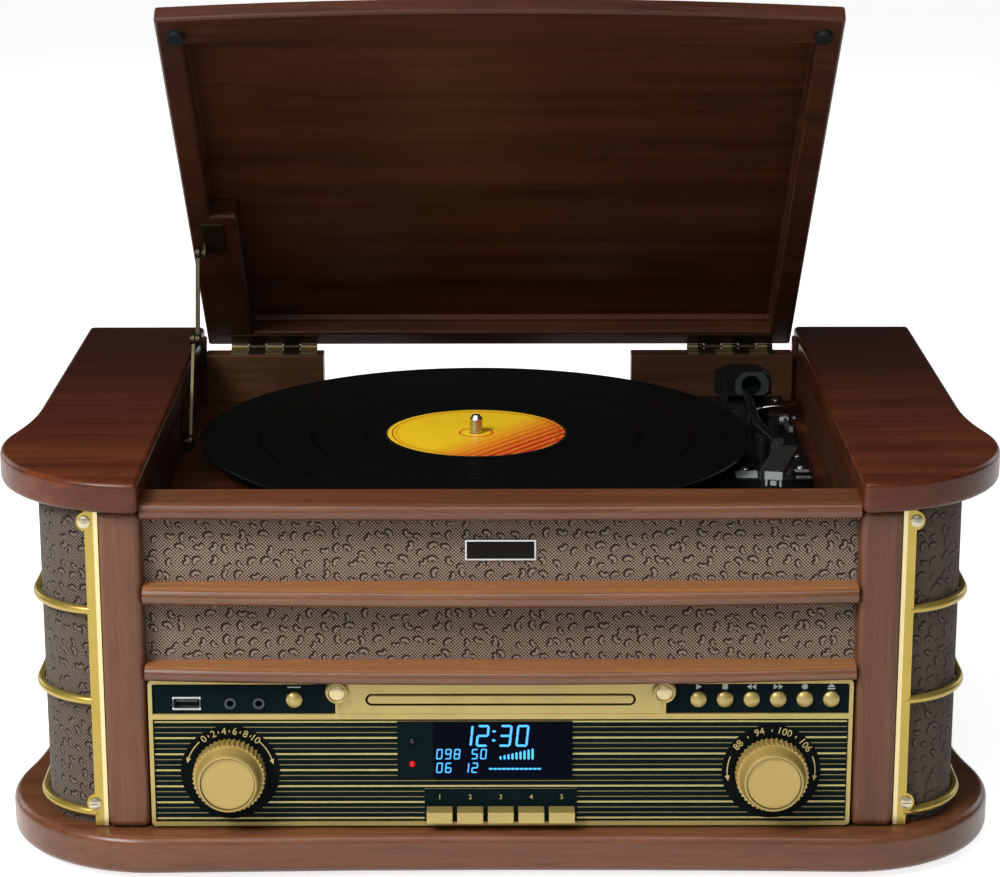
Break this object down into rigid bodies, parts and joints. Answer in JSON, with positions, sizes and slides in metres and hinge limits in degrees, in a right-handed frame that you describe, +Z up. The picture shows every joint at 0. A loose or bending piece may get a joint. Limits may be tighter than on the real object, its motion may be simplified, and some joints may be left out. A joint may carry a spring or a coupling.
{
  "type": "stereo music centre",
  "caption": "Wooden table music centre: record player under a lifting lid, disc tray, tuning and volume knobs, display and side loudspeakers.",
  "frame": {"origin": "on the surface the feet stand on, under the middle of the object's box with the lid raised", "axes": "+X to the right along the front, +Y to the back, +Z up"},
  "size_m": [0.508, 0.35, 0.4287],
  "materials": {
    "dark_wood": "stained and satin lacquered, fine grain",
    "rail_wood": "stained mid brown, satin lacquered, rounded edges",
    "rubber": "matt black",
    "grille_cloth": "woven grey-brown loudspeaker cloth with small flecks",
    "brass_trim": "satin gold",
    "hinge_brass": "aged bronze",
    "silver_trim": "satin",
    "black_plastic": "fine textured black",
    "panel_plastic": "black-green lacquer with fine gold lines",
    "gilt": "satin gold coating",
    "display": "dark blue window with plain numerals",
    "red_lamp": "clear red",
    "steel": "plain",
    "circuit_board": "green laminate",
    "speaker_metal": "dark grey",
    "vinyl": "grooved black with a yellow and orange label",
    "platter_metal": "black with a ribbed mat",
    "arm_metal": "black satin",
    "cartridge_plastic": "red stylus holder on a black body",
    "back_board": "dark fibreboard"
  },
  "bodies": {
    "cabinet": {"plinth": "dark_wood", "rubber_feet": "rubber", "side_walls": "dark_wood", "front_posts": "rail_wood", "wing_tops": "dark_wood", "side_grilles": "grille_cloth", "brass_trims": "brass_trim", "brass_screws": "brass_trim", "front_grille": "grille_cloth", "top_rail": "rail_wood", "grille_rails": "rail_wood", "badge_plate": "silver_trim", "deck_board": "dark_wood", "turntable_chassis": "black_plastic", "hinge_blocks": "dark_wood", "back_panel": "back_board", "rear_sockets": "black_plastic", "panel_frame": "gilt", "panel_face": "panel_plastic", "display_window": "display", "panel_lamps": "red_lamp", "front_sockets": "steel", "tray_door": "gilt", "disc_loader": "black_plastic", "knob_dials": "panel_plastic", "circuit_boards": "circuit_board", "power_transformer": "steel", "speakers": "speaker_metal", "drive_motor": "steel", "drive_belt": "rubber", "tonearm_base": "black_plastic", "hinge_leaves": "hinge_brass"},
    "disc_tray": {"disc_tray": "gilt"},
    "function_button": {"function_button": "gilt"},
    "play_button": {"play_button": "gilt"},
    "stop_button": {"stop_button": "gilt"},
    "back_button": {"back_button": "gilt"},
    "forward_button": {"forward_button": "gilt"},
    "record_button": {"record_button": "gilt"},
    "tray_button": {"tray_button": "gilt"},
    "menu_key": {"menu_key": "gilt"},
    "info_key": {"info_key": "gilt"},
    "scan_key": {"scan_key": "gilt"},
    "preset_key": {"preset_key": "gilt"},
    "enter_key": {"enter_key": "gilt"},
    "volume_knob": {"volume_knob": "gilt"},
    "tuning_knob": {"tuning_knob": "gilt"},
    "turntable": {"platter": "platter_metal", "record": "vinyl"},
    "motor_pulley": {"motor_pulley": "steel"},
    "arm_yoke": {"tonearm_yoke": "black_plastic"},
    "tonearm": {"tonearm": "arm_metal", "cartridge": "cartridge_plastic"},
    "cue_lever": {"cue_lever": "silver_trim"},
    "speed_switch": {"speed_switch": "silver_trim"},
    "lid": {"lid_frame": "dark_wood", "lid_panel": "dark_wood", "lid_fittings": "hinge_brass"},
    "stay_arm": {"stay_arm": "hinge_brass"},
    "stay_rod": {"stay_rod": "hinge_brass"}
  },
  "joints": [
    {"name": "lid_hinge", "type": "hinge", "parent": "cabinet", "child": "lid", "pos_m": [0, 0.1595, 0.197], "axis": [1, 0, 0], "range_deg": [0, 44.2]},
    {"name": "stay_arm_pivot", "type": "hinge", "parent": "cabinet", "child": "stay_arm", "pos_m": [-0.1724, 0.0375, 0.172], "axis": [1, 0, 0], "range_deg": [-57.3, 0]},
    {"name": "stay_rod_pivot", "type": "hinge", "parent": "lid", "child": "stay_rod", "pos_m": [-0.1724, 0.07984, 0.27], "axis": [1, 0, 0], "range_deg": [0, 39.7]},
    {"name": "platter_spin", "type": "hinge", "parent": "cabinet", "child": "turntable", "pos_m": [-0.013, 0.0217, 0.175], "axis": [0, 0, -1], "continuous": true},
    {"name": "pulley_spin", "type": "hinge", "parent": "cabinet", "child": "motor_pulley", "pos_m": [-0.04147, 0.09217, 0.174], "axis": [0, 0, -1], "continuous": true},
    {"name": "tonearm_swing", "type": "hinge", "parent": "cabinet", "child": "arm_yoke", "pos_m": [0.14, 0.0875, 0.18], "axis": [0, 0, -1], "range_deg": [0, 50]},
    {"name": "tonearm_lift", "type": "hinge", "parent": "arm_yoke", "child": "tonearm", "pos_m": [0.14, 0.0875, 0.19], "axis": [-1, 0, 0], "range_deg": [0, 3]},
    {"name": "cue_lever_turn", "type": "hinge", "parent": "cabinet", "child": "cue_lever", "pos_m": [0.16, 0.0565, 0.1785], "axis": [-1, 0, 0], "range_deg": [0, 20]},
    {"name": "speed_switch_slide", "type": "slide", "parent": "cabinet", "child": "speed_switch", "axis": [1, 0, 0], "range_m": [0, 0.009]},
    {"name": "volume_turn", "type": "hinge", "parent": "cabinet", "child": "volume_knob", "pos_m": [-0.1353, -0.16, 0.0538], "axis": [0, -1, 0], "continuous": true},
    {"name": "tuning_turn", "type": "hinge", "parent": "cabinet", "child": "tuning_knob", "pos_m": [0.1353, -0.16, 0.0538], "axis": [0, -1, 0], "continuous": true},
    {"name": "disc_tray_slide", "type": "slide", "parent": "cabinet", "child": "disc_tray", "axis": [0, -1, 0], "range_m": [0, 0.122]},
    {"name": "function_button_press", "type": "slide", "parent": "cabinet", "child": "function_button", "axis": [0, 1, 0], "range_m": [0, 0.0015], "stiffness_N_per_m": 300},
    {"name": "play_button_press", "type": "slide", "parent": "cabinet", "child": "play_button", "axis": [0, 1, 0], "range_m": [0, 0.0015], "stiffness_N_per_m": 300},
    {"name": "stop_button_press", "type": "slide", "parent": "cabinet", "child": "stop_button", "axis": [0, 1, 0], "range_m": [0, 0.0015], "stiffness_N_per_m": 300},
    {"name": "back_button_press", "type": "slide", "parent": "cabinet", "child": "back_button", "axis": [0, 1, 0], "range_m": [0, 0.0015], "stiffness_N_per_m": 300},
    {"name": "forward_button_press", "type": "slide", "parent": "cabinet", "child": "forward_button", "axis": [0, 1, 0], "range_m": [0, 0.0015], "stiffness_N_per_m": 300},
    {"name": "record_button_press", "type": "slide", "parent": "cabinet", "child": "record_button", "axis": [0, 1, 0], "range_m": [0, 0.0015], "stiffness_N_per_m": 300},
    {"name": "tray_button_press", "type": "slide", "parent": "cabinet", "child": "tray_button", "axis": [0, 1, 0], "range_m": [0, 0.0015], "stiffness_N_per_m": 300},
    {"name": "menu_key_press", "type": "slide", "parent": "cabinet", "child": "menu_key", "axis": [0, 1, 0], "range_m": [0, 0.0015], "stiffness_N_per_m": 300},
    {"name": "info_key_press", "type": "slide", "parent": "cabinet", "child": "info_key", "axis": [0, 1, 0], "range_m": [0, 0.0015], "stiffness_N_per_m": 300},
    {"name": "scan_key_press", "type": "slide", "parent": "cabinet", "child": "scan_key", "axis": [0, 1, 0], "range_m": [0, 0.0015], "stiffness_N_per_m": 300},
    {"name": "preset_key_press", "type": "slide", "parent": "cabinet", "child": "preset_key", "axis": [0, 1, 0], "range_m": [0, 0.0015], "stiffness_N_per_m": 300},
    {"name": "enter_key_press", "type": "slide", "parent": "cabinet", "child": "enter_key", "axis": [0, 1, 0], "range_m": [0, 0.0015], "stiffness_N_per_m": 300}
  ],
  "couplings": [
    {"joint": "stay_arm_pivot", "follows": "lid_hinge", "ratio": -1.2932},
    {"joint": "stay_rod_pivot", "follows": "lid_hinge", "ratio": 0.8938},
    {"joint": "pulley_spin", "follows": "platter_spin", "ratio": 7.5672},
    {"joint": "tonearm_lift", "follows": "cue_lever_turn", "ratio": 0.15}
  ]
}
